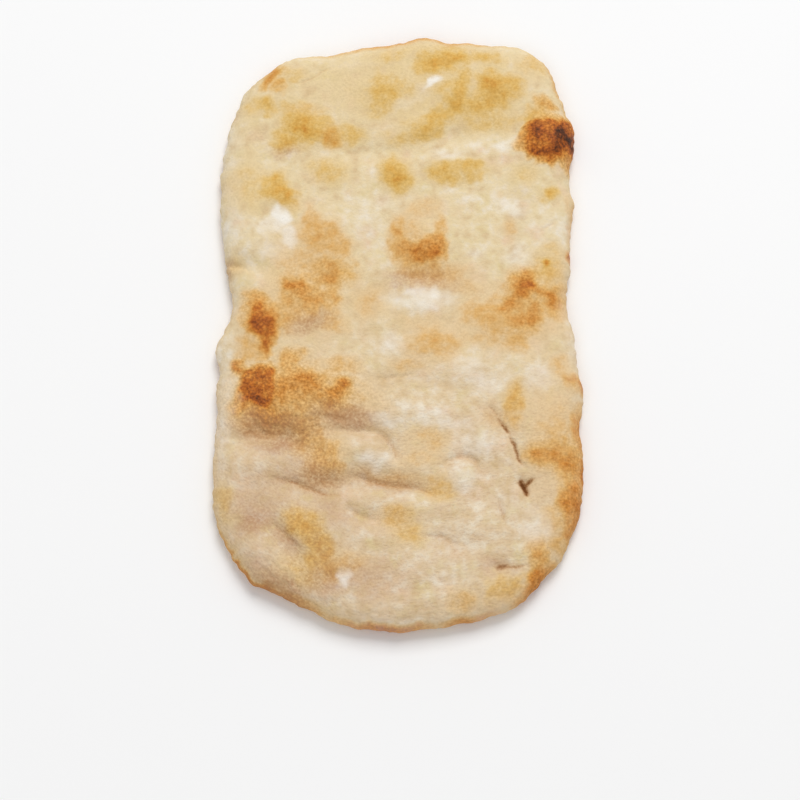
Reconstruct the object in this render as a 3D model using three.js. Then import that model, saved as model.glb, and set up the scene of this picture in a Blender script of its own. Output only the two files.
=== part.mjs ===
// Pinsa base: one flat oval of hand-pressed dough, baked until its blisters scorch.
// Millimetres, +Z up. X runs across the bread and Y along it. The origin is the middle
// of the footprint, on the surface that the bread lies on.

import * as THREE from "three";

// Overall size.
const WIDTH = 184.5;
const LENGTH = 316.4;

// Heights and roundings of the section, from the flat underside up.
const CRUMB_HEIGHT = 14.5; // top of the dough between its pillows and creases
const WAIST_HEIGHT = 6; // where the side bulges out furthest
const SHOULDER = 16; // how far in from the edge the top rounds over
const SHOULDER_POWER = 0.58; // 0.5 rounds it over as an ellipse, and more makes the edge thinner
const FOOT = 4; // how far in from the edge the flat underside starts
const SOFTNESS = 2; // how far the soft dough rounds off its own folds

// Mesh density: cells across and along the top, and rings down the side.
const CELLS_ACROSS = 44;
const CELLS_ALONG = 106;
const SIDE_RINGS = 3;
const EDGE_PACKING = 1.12; // above 1 draws the cells together towards the edge

// Plan of the dough before its edge gets lobes: a superellipse, as half sizes and a power.
const OVAL = { across: 91, along: 154, squareness: 4.3 };

// Lobes and hollows of the edge. Each is a smooth swell centred at an angle from +X,
// with a reach in degrees and a height in millimetres, negative for a hollow.
const EDGE_LOBES = [
  { at: 5.5, reach: 12, out: -6.8 }, // waist, right
  { at: 25, reach: 7.5, out: -3.4 },
  { at: 40, reach: 5, out: -2.8 },
  { at: 48.5, reach: 3.6, out: 5 }, // scorched blister on the edge
  { at: 62.5, reach: 9, out: 5.6 }, // far right corner
  { at: 85.5, reach: 3.4, out: 4 }, // far lobe
  { at: 105, reach: 8, out: -6.2 }, // flattened far left
  { at: 117, reach: 4, out: -2.6 },
  { at: 137, reach: 14, out: 4.6 }, // far left corner
  { at: 175, reach: 9.5, out: -5.4 }, // waist, left
  { at: 189, reach: 4, out: 2.6 },
  { at: 208, reach: 9, out: 1.9 },
  { at: 227, reach: 10, out: 5 }, // near left corner
  { at: 249, reach: 7.5, out: -5.2 },
  { at: 269, reach: 12, out: 6.4 }, // near end
  { at: 297, reach: 8, out: -4.2 },
  { at: 313, reach: 6, out: 2.6 }, // near right corner
  { at: 328, reach: 3.5, out: -1.6 },
  { at: 337, reach: 4, out: 1.6 },
  { at: 345.5, reach: 5, out: -1.8 },
];

// Pillows: gas lifted the dough here. Centre, half sizes, turn in degrees, and rise.
const PILLOWS = [
  // far third
  { x: 30, y: 126, across: 50, along: 20, turn: 0, rise: 1.2 },
  { x: -8, y: 121, across: 16, along: 14, turn: 20, rise: 1.2 },
  { x: 51, y: 125, across: 15, along: 11, turn: 0, rise: 1.4 },
  { x: 31, y: 119, across: 11, along: 13, turn: 0, rise: 1 },
  { x: -47, y: 103, across: 20, along: 13, turn: -20, rise: 1.8 },
  { x: 12, y: 102, across: 16, along: 10, turn: 0, rise: 1.2 },
  { x: 77, y: 96, across: 17, along: 16, turn: 0, rise: 4 },
  { x: -3, y: 76, across: 12, along: 12, turn: 0, rise: 1.6 },
  { x: 28, y: 79, across: 18, along: 9, turn: 5, rise: 1.3 },
  { x: -35, y: 77, across: 11, along: 9, turn: 0, rise: 1 },
  { x: -60, y: 66, across: 13, along: 10, turn: -35, rise: 1.5 },
  { x: -72, y: 58, across: 24, along: 34, turn: 0, rise: 1.8 },
  // middle third
  { x: -75, y: 40, across: 16, along: 13, turn: 0, rise: 1.6 },
  { x: -38, y: 42, across: 17, along: 22, turn: 10, rise: 1.6 },
  { x: 12, y: 40, across: 18, along: 16, turn: 0, rise: 2.4 },
  { x: -52, y: 13, across: 12, along: 10, turn: 0, rise: 1.4 },
  { x: -71, y: -4, across: 13, along: 17, turn: 0, rise: 2.4 },
  { x: 63, y: 12, across: 15, along: 15, turn: 0, rise: 2.2 },
  { x: 50, y: -3, across: 25, along: 13, turn: 0, rise: 1.4 },
  { x: 12, y: 7, across: 23, along: 11, turn: 0, rise: 1.8 },
  { x: 18, y: -16, across: 20, along: 10, turn: 0, rise: 1.2 },
  { x: 30, y: -27, across: 24, along: 10, turn: -5, rise: 1.5 },
  { x: 62, y: -27, across: 12, along: 12, turn: 0, rise: 1.1 },
  { x: -50, y: -40, across: 40, along: 18, turn: 0, rise: 2.8 },
  { x: 12, y: -50, across: 28, along: 10, turn: -5, rise: 1.9 },
  // near third
  { x: 72, y: -62, across: 22, along: 30, turn: 0, rise: 1.8 },
  { x: 42, y: -64, across: 15, along: 14, turn: 0, rise: 1.4 },
  { x: -70, y: -76, across: 22, along: 13, turn: 0, rise: 2.4 },
  { x: -18, y: -69, across: 22, along: 11, turn: -8, rise: 2.8 },
  { x: -34, y: -77, across: 13, along: 10, turn: 0, rise: 1.6 },
  { x: 31, y: -83, across: 13, along: 11, turn: 0, rise: 2.6 },
  { x: 5, y: -97, across: 34, along: 11, turn: -4, rise: 2 },
  { x: 80, y: -95, across: 14, along: 22, turn: 0, rise: 1.6 },
  { x: 40, y: -108, across: 24, along: 17, turn: 0, rise: 1.5 },
  { x: -47, y: -110, across: 15, along: 18, turn: 25, rise: 2.4 },
  { x: -12, y: -112, across: 24, along: 10, turn: -15, rise: 1.4 },
  { x: -70, y: -118, across: 15, along: 11, turn: 0, rise: 1.8 },
  { x: 15, y: -126, across: 30, along: 13, turn: 0, rise: 1.3 },
];

// Creases: where the dough folded down between pillows. Each runs through its points from
// left to right, falls slowly on its far side and rises steeply on its near side.
const CREASES = [
  // far third
  { through: [[-52, 128], [-41, 135], [-30, 140]], slow: 6, steep: 5, depth: 1.2 },
  { through: [[-42, 89], [-24, 88], [0, 88], [20, 95], [40, 99], [58, 100]], slow: 9, steep: 7, depth: 2 },
  // middle third
  { through: [[-94, 34], [-80, 28], [-64, 25]], slow: 5, steep: 8, depth: 2.6 },
  { through: [[0, 22], [14, 20], [28, 20]], slow: 8, steep: 6, depth: 1.6 },
  { through: [[-14, -34], [0, -32], [12, -31]], slow: 7, steep: 6, depth: 1.2 },
  // near third
  { through: [[48, -52], [52, -59], [56, -67], [60, -79]], slow: 5, steep: 5, depth: 2.2 },
  { through: [[-42, -57], [-25, -60], [-12, -61.5], [-4, -66], [-1, -74]], slow: 9, steep: 6, depth: 3.2 },
  { through: [[-84, -67], [-70, -63.5], [-58, -64.5], [-48, -68], [-40, -74]], slow: 11, steep: 6, depth: 4 },
  { through: [[22, -79], [31, -74], [38, -77], [41, -86]], slow: 6, steep: 5, depth: 2.2 },
  { through: [[-62, -85], [-45, -89], [-14, -86], [2, -88], [21, -93]], slow: 10, steep: 6, depth: 4.2 },
  { through: [[-32, -95], [-21, -102], [-6, -108]], slow: 7, steep: 6, depth: 2.4 },
  { through: [[-67, -102], [-57, -112], [-49, -123]], slow: 6, steep: 6, depth: 2.6 },
  { through: [[18, -113], [30, -117], [41, -118]], slow: 7, steep: 6, depth: 1.4 },
  { through: [[43, -130], [52, -127], [62, -129]], slow: 5, steep: 4, depth: 2.4 },
];
const CREASE_STEPS = 16; // straight stretches that stand for each crease's curve

// Pits: small holes where a bubble burst.
const PITS = [
  { x: 61, y: -88, across: 6, along: 6, turn: 0, depth: 3.6 },
];

const CRUST = new THREE.MeshStandardMaterial({
  name: "baked_crust",
  color: new THREE.Color(0xdcc498),
  roughness: 0.85,
  metalness: 0,
});

// Edge of the dough.

const wrappedDegrees = (degrees) => THREE.MathUtils.euclideanModulo(degrees + 180, 360) - 180;

// Distance from the middle to the edge at an angle, before the outline is fitted to its size.
function rawReach(angle) {
  const { across, along, squareness } = OVAL;
  const crosswise = Math.abs(Math.cos(angle) / across) ** squareness;
  const lengthwise = Math.abs(Math.sin(angle) / along) ** squareness;
  const degrees = THREE.MathUtils.radToDeg(angle);
  const lobes = EDGE_LOBES.reduce(
    (out, lobe) => out + lobe.out * Math.exp(-((wrappedDegrees(degrees - lobe.at) / lobe.reach) ** 2)),
    0,
  );
  return (crosswise + lengthwise) ** (-1 / squareness) + lobes;
}

const outwards = (angle) => new THREE.Vector2(Math.cos(angle), Math.sin(angle));
const rawPoint = (angle) => outwards(angle).multiplyScalar(rawReach(angle));

const OUTLINE_SAMPLES = 720;
const rawBox = new THREE.Box2().setFromPoints(
  Array.from({ length: OUTLINE_SAMPLES }, (_, i) => rawPoint((i * 2 * Math.PI) / OUTLINE_SAMPLES)),
);
const rawMiddle = rawBox.getCenter(new THREE.Vector2());
const fit = new THREE.Vector2(WIDTH, LENGTH).divide(rawBox.getSize(new THREE.Vector2()));

// A point of the plan: share 0 is the pole of the outline and share 1 its edge.
const planPoint = (angle, share) => rawPoint(angle).multiplyScalar(share).sub(rawMiddle).multiply(fit);

// Distance from the edge, straight in, of the point at a share of the way out.
function inFromEdge(angle, share) {
  const aside = 0.08; // radians to either side, over which the edge's slant is taken
  const slant = (rawReach(angle + aside) - rawReach(angle - aside)) / (2 * aside);
  const reach = rawReach(angle);
  return (1 - share) * reach * (reach / Math.hypot(reach, slant));
}

// Relief of the top.

// A smooth swell that is 1 in the middle and 0 from distance 1 outwards.
const swell = (distance) => (distance < 1 ? (1 - distance ** 2) ** 2 : 0);

// Distance of a point from an ellipse's centre, where 1 is on the ellipse.
function ellipseDistance({ x, y, across, along, turn }, point) {
  const turned = point.clone().rotateAround(new THREE.Vector2(x, y), -THREE.MathUtils.degToRad(turn));
  return Math.hypot((turned.x - x) / across, (turned.y - y) / along);
}

const creaseLines = CREASES.map((crease) => {
  const curve = new THREE.SplineCurve(crease.through.map(([x, y]) => new THREE.Vector2(x, y)));
  return { ...crease, points: curve.getPoints(CREASE_STEPS) };
});

// How deep one crease is under a point. It fades out at both of its ends.
function creaseDepth({ points, slow, steep, depth }, point) {
  let deepest = 0;
  for (let i = 0; i < CREASE_STEPS; i++) {
    const start = points[i];
    const along = points[i + 1].clone().sub(start);
    const from = point.clone().sub(start);
    const part = THREE.MathUtils.clamp(from.dot(along) / along.lengthSq(), 0, 1);
    const side = along.cross(from) > 0 ? slow : steep;
    const distance = from.distanceTo(along.multiplyScalar(part));
    const fade = Math.sqrt(Math.sin((Math.PI * (i + part)) / CREASE_STEPS));
    deepest = Math.max(deepest, depth * fade * swell(distance / side));
  }
  return deepest;
}

const sum = (values) => values.reduce((total, value) => total + value, 0);

// Rise or fall of the dough at a point, away from the edge.
function relief(point) {
  const raised = sum(PILLOWS.map((pillow) => pillow.rise * swell(ellipseDistance(pillow, point))));
  const pressed = Math.max(...creaseLines.map((crease) => creaseDepth(crease, point)));
  const holes = sum(PITS.map((pit) => pit.depth * swell(ellipseDistance(pit, point))));
  return raised - pressed - holes;
}

// Height of the dough over a point: the relief is rounded off over the softness around it.
function crumbHeight(point) {
  const steps = [-SOFTNESS, 0, SOFTNESS];
  const around = steps.flatMap((dx) => steps.map((dy) => new THREE.Vector2(point.x + dx, point.y + dy)));
  return CRUMB_HEIGHT + sum(around.map(relief)) / around.length;
}

// Rounding from the waist, at share 0, up to the full height.
function shoulderShare(distanceIn) {
  const left = 1 - Math.min(distanceIn / SHOULDER, 1);
  return (1 - left ** 2) ** SHOULDER_POWER;
}

// The solid.

// A vertex of the top: u and v run from -1 to 1 across and along, and square rings of the
// grid become scaled copies of the outline.
function topVertex(u, v) {
  const angle = Math.atan2(v * OVAL.along, u * OVAL.across);
  const share = 1 - (1 - Math.max(Math.abs(u), Math.abs(v))) ** EDGE_PACKING;
  const point = planPoint(angle, share);
  const lift = (crumbHeight(point) - WAIST_HEIGHT) * shoulderShare(inFromEdge(angle, share));
  return new THREE.Vector3(point.x, point.y, WAIST_HEIGHT + lift);
}

// The edge vertex's copy further down the side: turn 0 is the waist and 1 the underside.
function sideVertex(edge, turn) {
  const angle = (turn * Math.PI) / 2;
  const inwards = 1 - (FOOT * (1 - Math.cos(angle))) / Math.hypot(edge.x, edge.y);
  return new THREE.Vector3(edge.x * inwards, edge.y * inwards, WAIST_HEIGHT * (1 - Math.sin(angle)));
}

function breadGeometry() {
  const vertices = [];
  const triangles = [];
  const addVertex = (vertex) => vertices.push(vertex) - 1;

  // Top sheet. Each cell is split along its own way out, so none is folded flat at a corner.
  const rows = Array.from({ length: CELLS_ALONG + 1 }, (_, j) =>
    Array.from({ length: CELLS_ACROSS + 1 }, (_, i) =>
      addVertex(topVertex((2 * i) / CELLS_ACROSS - 1, (2 * j) / CELLS_ALONG - 1)),
    ),
  );
  for (let j = 0; j < CELLS_ALONG; j++) {
    for (let i = 0; i < CELLS_ACROSS; i++) {
      const [a, b, c, d] = [rows[j][i], rows[j][i + 1], rows[j + 1][i + 1], rows[j + 1][i]];
      const sameSide = (2 * i + 1 - CELLS_ACROSS) * (2 * j + 1 - CELLS_ALONG) > 0;
      triangles.push(...(sameSide ? [a, b, c, a, c, d] : [a, b, d, b, c, d]));
    }
  }

  // Side, ring under ring from the edge of the top sheet, which is walked counter-clockwise.
  const rightColumn = rows.map((row) => row[CELLS_ACROSS]);
  const leftColumn = rows.map((row) => row[0]);
  const edge = [
    ...rows[0].slice(0, -1),
    ...rightColumn.slice(0, -1),
    ...rows[CELLS_ALONG].slice(1).reverse(),
    ...leftColumn.slice(1).reverse(),
  ];
  const following = (ring, i) => ring[(i + 1) % ring.length];
  let upper = edge;
  for (let ring = 1; ring <= SIDE_RINGS; ring++) {
    const lower = edge.map((index) => addVertex(sideVertex(vertices[index], ring / SIDE_RINGS)));
    lower.forEach((low, i) => {
      const [nextLow, nextUp] = [following(lower, i), following(upper, i)];
      triangles.push(low, nextLow, nextUp, low, nextUp, upper[i]);
    });
    upper = lower;
  }

  // Flat underside.
  const middle = addVertex(new THREE.Vector3(0, 0, 0));
  upper.forEach((index, i) => triangles.push(middle, following(upper, i), index));

  const geometry = new THREE.BufferGeometry().setFromPoints(vertices);
  geometry.setIndex(triangles);
  geometry.computeVertexNormals();
  return geometry;
}

const bread = new THREE.Mesh(breadGeometry(), CRUST);
bread.name = "pinsa_base";

const part = new THREE.Group();
part.add(bread);

export default part;
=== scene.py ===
"""Looks of a pinsa base: a flat, oval, pre-baked bread on a pale studio floor.

A copy of the bread's solid is rounded off and gets the finer relief of hand-pressed dough: crisp
folds, a crack, burst bubbles, wrinkles and a ragged rim. Scorch marks and flour are laid over it as
attributes, with painted shade on slopes, in creases, pits and furrows and painted light on shaded
flanks and lit ridges, and one crust finish turns them into colour. Plan sizes are in millimetres of
the bread's own frame, seen from above, and everything that Blender gets is in metres.
"""

import logging
import math
from contextlib import contextmanager
from dataclasses import dataclass, field
from enum import Enum
from typing import Iterator, Optional, Sequence, Union

import bpy
import numpy as np
from mathutils.kdtree import KDTree
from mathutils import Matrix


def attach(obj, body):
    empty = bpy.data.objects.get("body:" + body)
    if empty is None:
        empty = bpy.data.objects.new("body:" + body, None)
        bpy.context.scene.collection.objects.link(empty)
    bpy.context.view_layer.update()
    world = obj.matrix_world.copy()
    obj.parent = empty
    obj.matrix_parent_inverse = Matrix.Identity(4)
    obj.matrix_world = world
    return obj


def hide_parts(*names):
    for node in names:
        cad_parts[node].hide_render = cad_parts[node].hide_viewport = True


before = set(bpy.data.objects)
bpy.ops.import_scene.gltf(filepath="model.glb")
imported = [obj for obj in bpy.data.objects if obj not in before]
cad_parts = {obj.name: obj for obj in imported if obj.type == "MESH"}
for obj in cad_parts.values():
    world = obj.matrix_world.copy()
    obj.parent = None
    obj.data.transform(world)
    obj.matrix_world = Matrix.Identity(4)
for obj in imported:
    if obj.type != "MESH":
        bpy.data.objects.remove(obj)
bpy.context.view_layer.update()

log = logging.getLogger("pinsa")

MM = 0.001

Colour = tuple[float, float, float, float]
Point = tuple[float, float]
Pair = tuple[float, float]
Span = tuple[float, float]
Ramp = tuple[tuple[float, Colour], ...]


class Mark(str, Enum):
    """Attributes of the bread's surface that its finish reads."""

    BROWNING = "browning"
    GRAIN = "grain"
    WARMTH = "warmth"
    # dried greyish skin, and painted shade on slopes, in creases and under the left lobe
    DULLING = "dulling"
    # flour, and painted light on shaded flanks of the rim and on lit ridges
    FLOUR = "flour"
    # baked stain and painted shade along the folds, the crack and the pits
    STAIN = "stain"


class Draw(int, Enum):
    """The bread's random draws, by what each adds to the seed."""

    WANDER = 0
    FINE_WANDER = 10
    LUMPS = 21
    FINE_LUMPS = 22
    RIM = 24
    FINE_RIM = 25
    BLOTCHES = 26
    WRINKLES = 30


def srgb(red: int, green: int, blue: int) -> Colour:
    """Turns a colour as a screen shows it into the linear one that shaders take, by the sRGB curve.

    Args:
        red: Red, from 0 to 255.
        green: Green, from 0 to 255.
        blue: Blue, from 0 to 255.

    Returns:
        The linear colour with an alpha of 1.
    """
    shares = [value / 255 for value in (red, green, blue)]
    linear = [s / 12.92 if s <= 0.04045 else ((s + 0.055) / 1.055) ** 2.4 for s in shares]
    return (linear[0], linear[1], linear[2], 1.0)


def smooth_step(values: np.ndarray, start: float, end: float) -> np.ndarray:
    """Eases from 0 at start to 1 at end.

    Args:
        values: The values to ease.
        start: The value that gives 0.
        end: The value that gives 1, above or below start.

    Returns:
        The eased values.
    """
    share = np.clip((values - start) / (end - start), 0.0, 1.0)
    return share * share * (3.0 - 2.0 * share)


def turned(plan: np.ndarray, degrees: float) -> np.ndarray:
    """Gives points as seen from axes that are turned counter-clockwise.

    Args:
        plan: Points of the plan, one a row.
        degrees: Turn of the axes.

    Returns:
        The points' places along the turned axes, one a row.
    """
    angle = math.radians(degrees)
    across = plan[:, 0] * math.cos(angle) + plan[:, 1] * math.sin(angle)
    along = plan[:, 1] * math.cos(angle) - plan[:, 0] * math.sin(angle)
    return np.stack([across, along], axis=1)


# The dough's marks, by place and size


@dataclass(frozen=True)
class Spot:
    """An oval patch of the top, such as a scorch mark or a dusting of flour.

    Attributes:
        x: Middle of the patch across the bread.
        y: Middle of the patch along the bread.
        across: Half of the patch's width.
        along: Half of the patch's length.
        strength: How strong the mark is in the middle, from 0 to 1.
        turn: Turn of the patch in degrees, counter-clockwise from above.
        grain: How grainy the mark is, from 0 to 1.
        fade: How wide its edge fades, as a share of its half sizes.
        warm: How far its browning is orange instead of golden, from 0 to 1.
    """

    x: float
    y: float
    across: float
    along: float
    strength: float
    turn: float = 0.0
    grain: float = 0.3
    fade: float = 1.85
    warm: float = 0.8

    def share(self, plan: np.ndarray) -> np.ndarray:
        """Gives how far inside the patch points are.

        Args:
            plan: Points of the plan, one a row.

        Returns:
            1 in the patch's core and a half on its outline, falling to 0 outside.
        """
        place = turned(plan - np.array([self.x, self.y]), self.turn)
        distance = np.hypot(place[:, 0] / self.across, place[:, 1] / self.along)
        return smooth_step(distance, 1 + self.fade / 2, 1 - self.fade / 2)


def laid_over(spots: Sequence[Spot], plan: np.ndarray) -> np.ndarray:
    """Lays spots over each other, so that they blend where they meet.

    Args:
        spots: The spots.
        plan: Points of the plan, one a row.

    Returns:
        How strong the marks are together, from 0 to about 1.
    """
    blend = 4.0  # more lets the stronger spot win, and less adds the spots up
    total = sum((spot.strength * spot.share(plan)) ** blend for spot in spots)
    return total ** (1 / blend)


@dataclass(frozen=True)
class Fold:
    """A line where the dough's skin dips: a crease between folds, a crack or an arm of a pit.

    Attributes:
        through: Points that the line runs through, in order.
        half_width: Distance from the line at which the dip ends.
        depth: Depth on the line, away from its ends.
        stain: Baked stain and painted shade of the line's dip, from 0 to 1.
        fine: Whether the skin gets more faces along the line.
        STEPS: Points of the curve from one of the line's points to the next.
        SHARPNESS: Power of the dip's slope, above 1 for a sharp bottom.
        END_FADE: Power of the fade at the line's ends, below 1 for blunt ends.
        STAIN_AND_SHADE_SHARE: Share of the half width that stain and painted shade darken.
    """

    through: tuple[Point, ...]
    half_width: float
    depth: float
    stain: float = 0.1
    fine: bool = False

    STEPS = 12
    SHARPNESS = 1.4
    END_FADE = 0.5
    STAIN_AND_SHADE_SHARE = 0.9

    def path(self) -> np.ndarray:
        """Gives the line as closely spaced points on a Catmull-Rom curve through its own points."""
        knots = np.array(self.through, float)
        first = 2 * knots[0] - knots[1]
        last = 2 * knots[-1] - knots[-2]
        knots = np.vstack([first, knots, last])
        share = np.linspace(0, 1, self.STEPS, endpoint=False)[:, None]
        pieces = []
        for before, start, end, after in zip(knots, knots[1:], knots[2:], knots[3:]):
            bend = 2 * before - 5 * start + 4 * end - after
            twist = 3 * (start - end) + after - before
            pieces.append(start + 0.5 * share * (end - before + share * (bend + share * twist)))
        return np.vstack([*pieces, knots[-2:-1]])

    def closeness(self, plan: np.ndarray) -> np.ndarray:
        """Gives how close points are to the line, which fades out at both ends.

        Args:
            plan: Points of the plan, one a row.

        Returns:
            1 on the line, falling straight to 0 at its half width.
        """
        path = self.path()
        low = path.min(axis=0) - self.half_width
        high = path.max(axis=0) + self.half_width
        near = np.flatnonzero(((plan > low) & (plan < high)).all(axis=1))
        gaps = np.linalg.norm(plan[near, None, :] - path[None, :, :], axis=2)
        nearest = gaps.argmin(axis=1)
        fade = np.sin(math.pi * (nearest + 1) / (len(path) + 1)) ** self.END_FADE
        close = np.zeros(len(plan))
        close[near] = fade * np.clip(1 - gaps.min(axis=1) / self.half_width, 0, 1)
        return close

    def dip(self, plan: np.ndarray) -> np.ndarray:
        """Gives the depth of the dip at points of the plan, in millimetres."""
        return self.depth * self.closeness(plan) ** self.SHARPNESS

    def tint(self, plan: np.ndarray) -> np.ndarray:
        """Gives the line's baked stain and painted shade at points of the plan, from 0 to 1."""
        return self.stain * smooth_step(self.closeness(plan), 1 - self.STAIN_AND_SHADE_SHARE, 1.0)


@dataclass(frozen=True)
class Wrinkling:
    """A patch of the skin that has shrunk into fine, nearly parallel wrinkles.

    Attributes:
        patch: Where the wrinkles lie. Its turn is the way that they run.
        depth: Depth of the wrinkles.
        spacing: Distance from one wrinkle to the next.
        length: How many times longer than their spacing the wrinkles are.
    """

    patch: Spot
    depth: float
    spacing: float = 2.4
    length: float = 3.5


@dataclass(frozen=True)
class EdgeToast:
    """A stretch of the rim that the oven has browned.

    Attributes:
        at: Direction of its middle from the bread's middle, in degrees from +X.
        reach: How far it reaches to either side, in degrees.
        strength: How brown it is, from 0 to 1.
        inward: How far the browning fades in from the rim.
    """

    at: float
    reach: float
    strength: float
    inward: float = 4.0

    def share(self, plan: np.ndarray, inset: np.ndarray) -> np.ndarray:
        """Gives how brown the rim has made points of the plan.

        Args:
            plan: Points of the plan, one a row.
            inset: How far in from the rim each of them lies.

        Returns:
            The browning, from 0 to 1.
        """
        way = np.degrees(np.arctan2(plan[:, 1], plan[:, 0]))
        aside = np.abs((way - self.at + 180) % 360 - 180)
        browning = self.strength * smooth_step(aside, self.reach, 0.0)
        return browning * smooth_step(inset, self.inward, 0.0)


# A fold's fourth number darkens its line: baked stain and painted shade in the dip.
FOLDS = (
    # long creases under the folded ridges
    Fold(((-62, -84), (-54, -85), (-44, -88.5), (-36, -92), (-27, -91)), 2.2, 1.6, 0.5),
    Fold(((-27, -81), (-18, -83.5), (-8, -85.5), (3, -87), (12, -89.5), (21, -94)), 2.6, 1.9, 0.45),
    Fold(((-80, -66), (-70, -62.5), (-58, -63), (-48, -66), (-42, -71)), 3.8, 0.6),
    Fold(((-38, -59), (-25, -59.5), (-12, -60.5), (-5, -65), (-1.5, -73)), 3.2, 1.6),
    Fold(((-16, -60), (-7, -63), (-2.5, -69), (-1, -77)), 2.8, 1.9, 0.4),
    Fold(((19, -81), (25, -75.5), (32, -73.5), (38, -77), (40, -87)), 3.0, 1.6, 0.28),
    Fold(((-26, -97), (-19, -102), (-8, -106)), 2.6, 0.9, 0.25),
    Fold(((-62, -105), (-54, -112.5), (-48, -120)), 2.4, 0.9, 0.35),
    # under the lobe at the left edge
    Fold(((-92, 33), (-84, 28), (-77, 25)), 3.0, 1.4, 0.2),
    # short creases
    Fold(((-52, 128), (-46, 130), (-40, 134.5), (-34, 137)), 1.4, 0.5, 0.3, True),
    Fold(((-12, -34), (0, -32), (8, -31)), 1.8, 0.6, 0.2, True),
    Fold(((10, -112), (20, -113), (30, -117)), 2.4, 1.1, 0.3),
    Fold(((-38, -134), (-30, -131.5), (-22, -129)), 2.6, 0.6, 0.2),
    Fold(((70, 45), (75, 48), (80, 51)), 1.4, 0.5, 0.2, True),
    Fold(((48.5, -94), (50, -101), (51, -107)), 2.4, 1.2, 0.42),
    Fold(((-64, 89), (-57, 87)), 1.8, 0.3, 0.2),
    Fold(((-30, 90), (-24, 88), (-14, 89)), 2.0, 0.3, 0.2),
    Fold(((60, 109), (58.5, 102), (59.5, 94)), 1.8, 0.6, 0.2),
    Fold(((43, -48), (46, -50), (49, -54)), 1.8, 0.8, 0.3, True),
    # crack in the right half
    Fold(((47, -53), (50.7, -57.1), (53, -60), (56, -62)), 2.3, 1.1, 0.75, True),
    Fold(((54, -61), (56.4, -66.8), (57.9, -73.4), (60.5, -79)), 1.8, 1.3, 0.75, True),
    # burst bubble with three arms
    Fold(((57.5, -84.8), (61.2, -87.6), (62.7, -92.7)), 2.7, 1.9, 1.1, True),
    Fold(((61.4, -88.3), (63, -86.2), (65.8, -83.9)), 2.0, 1.3, 0.9, True),
    # slit near the right corner, with the line that it runs out in
    Fold(((45.5, -128.8), (50.4, -127.3), (54.5, -126.2)), 3.0, 1.0, 0.62, True),
    Fold(((50, -127.3), (55, -127), (61, -127.8)), 1.6, 0.6, 0.55, True),
)

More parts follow.
